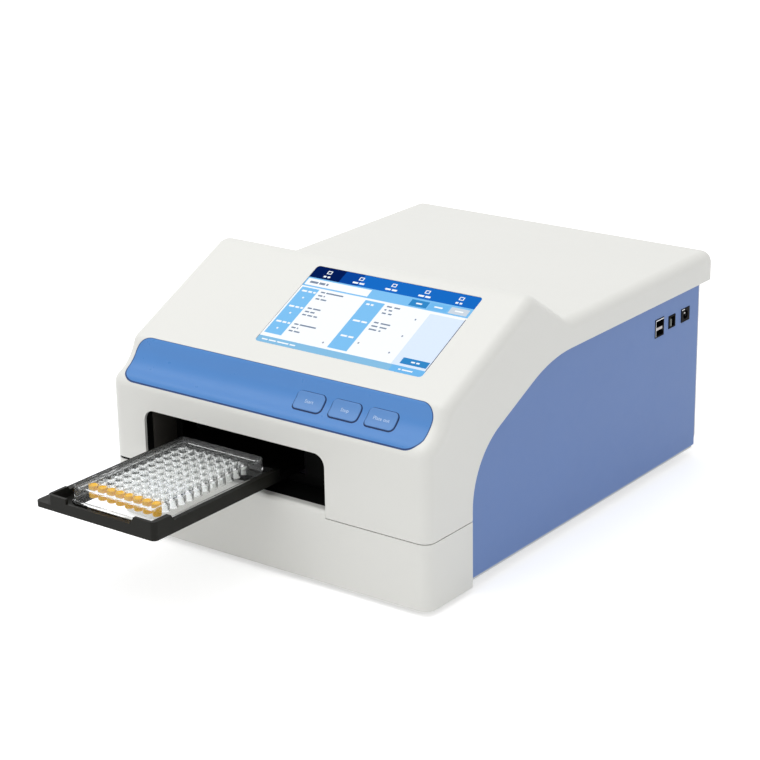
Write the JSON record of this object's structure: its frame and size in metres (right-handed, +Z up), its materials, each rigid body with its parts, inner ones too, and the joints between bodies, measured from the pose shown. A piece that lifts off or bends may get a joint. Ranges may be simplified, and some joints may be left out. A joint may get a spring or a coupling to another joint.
{
  "type": "microplate reader",
  "caption": "Benchtop microplate reader with a sloping touch screen, three keys and a belt-driven plate tray that slides out of the front.",
  "frame": {"origin": "on the surface under the feet, in the middle plane, midway between the front of the drawn-out tray and the rear of the lid", "axes": "+X to the right seen from the front, +Y to the rear, +Z up"},
  "size_m": [0.312, 0.561, 0.2132],
  "materials": {
    "housing_white": "satin moulded off-white",
    "panel_blue": "satin slate blue paint",
    "strip_blue": "satin moulded blue",
    "key_blue": "satin moulded blue",
    "screen_glass": "glossy touch glass over a lit display",
    "black_plastic": "matt black",
    "tray_black": "fine-textured black",
    "sheet_metal": "zinc-plated and painted sheet",
    "steel": "ground steel",
    "aluminium": "machined aluminium",
    "motor_metal": "black motor can",
    "rubber_black": "black rubber",
    "circuit_board": "green solder mask",
    "clear_plastic": "clear polystyrene",
    "amber_liquid": "amber liquid",
    "filter_glass": "coloured interference glass"
  },
  "bodies": {
    "casing": {"base_plate": "sheet_metal", "board_components": "black_plastic", "board_standoffs": "aluminium", "case_screws": "steel", "data_port": "black_plastic", "dc_socket": "black_plastic", "deck_posts": "aluminium", "detector_board": "circuit_board", "detector_stand": "sheet_metal", "drive_belt": "rubber_black", "fan_frame": "black_plastic", "feet": "rubber_black", "filter_bracket": "sheet_metal", "filter_motor": "motor_metal", "glide_rail": "sheet_metal", "guide_shaft": "steel", "idler_post": "steel", "key_board": "circuit_board", "key_strip": "strip_blue", "key_switches": "black_plastic", "lamp_housing": "aluminium", "lcd_bracket": "sheet_metal", "lcd_module": "steel", "lens_bar": "black_plastic", "lens_tube": "aluminium", "light_guide": "rubber_black", "lower_casing": "housing_white", "main_board": "circuit_board", "measuring_bridge": "aluminium", "motor_bracket": "sheet_metal", "mouth_liner": "black_plastic", "optics_deck": "aluminium", "port_board": "circuit_board", "port_bracket": "sheet_metal", "rear_panel": "sheet_metal", "shaft_supports": "aluminium", "side_panel_left": "panel_blue", "side_panel_right": "panel_blue", "touch_glass": "screen_glass", "tray_motor": "motor_metal", "upper_housing": "housing_white", "usb_ports": "black_plastic"},
    "tray": {"plate_tray": "tray_black", "plate_spring": "steel", "tray_slider": "black_plastic", "belt_clamp": "black_plastic"},
    "plate": {"microplate": "clear_plastic", "well_liquid": "amber_liquid"},
    "start_button": {"start_key": "key_blue"},
    "stop_button": {"stop_key": "key_blue"},
    "plate_button": {"plate_key": "key_blue"},
    "idler": {"idler_pulley": "aluminium"},
    "drive": {"drive_pulley": "aluminium", "motor_shaft": "steel"},
    "wheel": {"filter_wheel": "black_plastic", "optical_filters": "filter_glass", "filter_shaft": "steel"},
    "fan": {"fan_rotor": "black_plastic"}
  },
  "joints": [
    {"name": "tray_slide", "type": "slide", "parent": "casing", "child": "tray", "axis": [0, -1, 0], "range_m": [-0.205, 0]},
    {"name": "plate_lift", "type": "slide", "parent": "tray", "child": "plate", "axis": [0, 0, 1], "range_m": [0, 0.012]},
    {"name": "start_press", "type": "slide", "parent": "casing", "child": "start_button", "axis": [0, 0.7188, -0.6952], "range_m": [0, 0.0008], "stiffness_N_per_m": 400},
    {"name": "stop_press", "type": "slide", "parent": "casing", "child": "stop_button", "axis": [0, 0.7188, -0.6952], "range_m": [0, 0.0008], "stiffness_N_per_m": 400},
    {"name": "plate_press", "type": "slide", "parent": "casing", "child": "plate_button", "axis": [0, 0.7188, -0.6952], "range_m": [0, 0.0008], "stiffness_N_per_m": 400},
    {"name": "drive_spin", "type": "hinge", "parent": "casing", "child": "drive", "pos_m": [0.052, 0.1455, 0.064], "axis": [0, 0, 1], "continuous": true},
    {"name": "idler_spin", "type": "hinge", "parent": "casing", "child": "idler", "pos_m": [0.052, -0.0945, 0.064], "axis": [0, 0, 1], "continuous": true},
    {"name": "filter_wheel_spin", "type": "hinge", "parent": "casing", "child": "wheel", "pos_m": [-0.04, 0.1155, 0.1455], "axis": [0, 1, 0], "continuous": true},
    {"name": "fan_spin", "type": "hinge", "parent": "casing", "child": "fan", "pos_m": [-0.085, 0.2515, 0.092], "axis": [0, 1, 0], "continuous": true}
  ],
  "couplings": [
    {"joint": "drive_spin", "follows": "tray_slide", "rad_per_m": 136.99},
    {"joint": "idler_spin", "follows": "tray_slide", "rad_per_m": 136.99}
  ]
}
